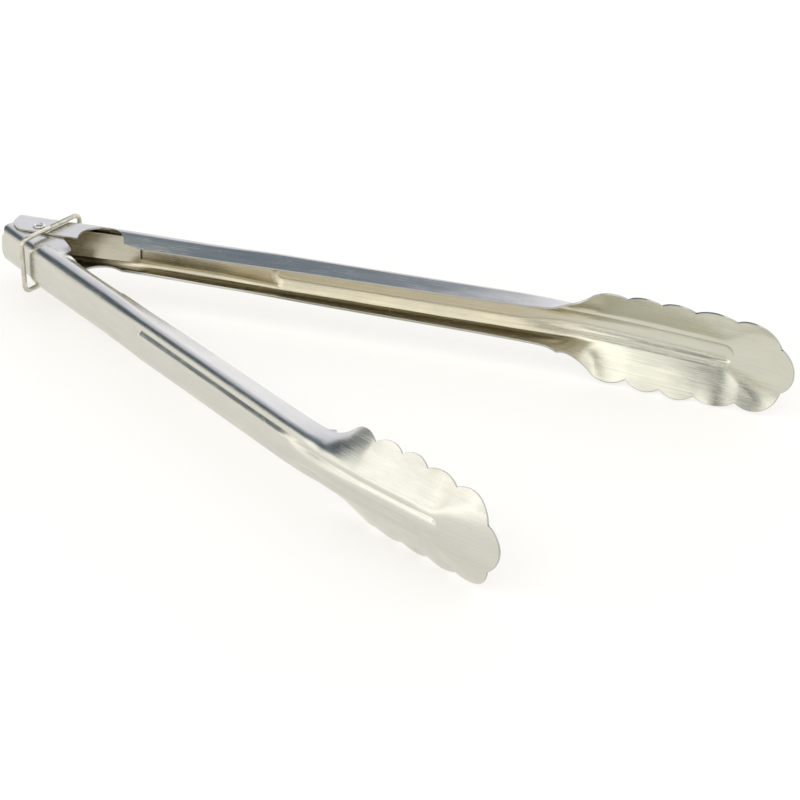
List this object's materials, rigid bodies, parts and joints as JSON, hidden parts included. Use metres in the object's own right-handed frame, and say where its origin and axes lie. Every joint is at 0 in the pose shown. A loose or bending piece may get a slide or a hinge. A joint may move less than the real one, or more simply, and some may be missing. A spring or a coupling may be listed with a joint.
{
  "type": "kitchen tongs",
  "caption": "Spring loaded kitchen tongs: channel section steel arms with scalloped heads, hinged on a rivet and locked by a sliding wire ring.",
  "frame": {"origin": "bottom centre of the bounding box, tongs sprung open and lying on their side", "axes": "+X from the hinge end to the head tips, along the middle plane between the arms; +Y to the outer arm; +Z along the pivot rivet"},
  "size_m": [0.2864, 0.1718, 0.0368],
  "materials": {
    "arm_steel": "polished, with fine lengthwise drawing marks and light scratches",
    "rivet_steel": "satin",
    "wire_steel": "bright drawn wire",
    "spring_steel": "cold rolled strip"
  },
  "bodies": {
    "hinge": {"pivot_rivet": "rivet_steel", "leaf_spring": "spring_steel"},
    "outer_arm_body": {"outer_arm": "arm_steel"},
    "inner_arm_body": {"inner_arm": "arm_steel"},
    "ring_body": {"lock_ring": "wire_steel"}
  },
  "joints": [
    {"name": "outer_arm_close", "type": "hinge", "parent": "hinge", "child": "outer_arm_body", "pos_m": [-0.13034, 0, 0.0184], "axis": [0, 0, -1], "range_deg": [0, 17], "stiffness_Nm_per_rad": 0.5, "springref_deg": -22.92, "deforming": ["leaf_spring"]},
    {"name": "inner_arm_close", "type": "hinge", "parent": "hinge", "child": "inner_arm_body", "pos_m": [-0.13034, 0, 0.0184], "axis": [0, 0, 1], "range_deg": [0, 17], "stiffness_Nm_per_rad": 0.5, "springref_deg": -22.92, "deforming": ["leaf_spring"]},
    {"name": "ring_slide", "type": "slide", "parent": "hinge", "child": "ring_body", "axis": [1, 0, 0], "range_m": [0, 0.0128]}
  ],
  "couplings": [
    {"joint": "inner_arm_close", "follows": "outer_arm_close", "ratio": 1},
    {"joint": "ring_slide", "follows": "outer_arm_close", "m_per_rad": 0.043}
  ]
}
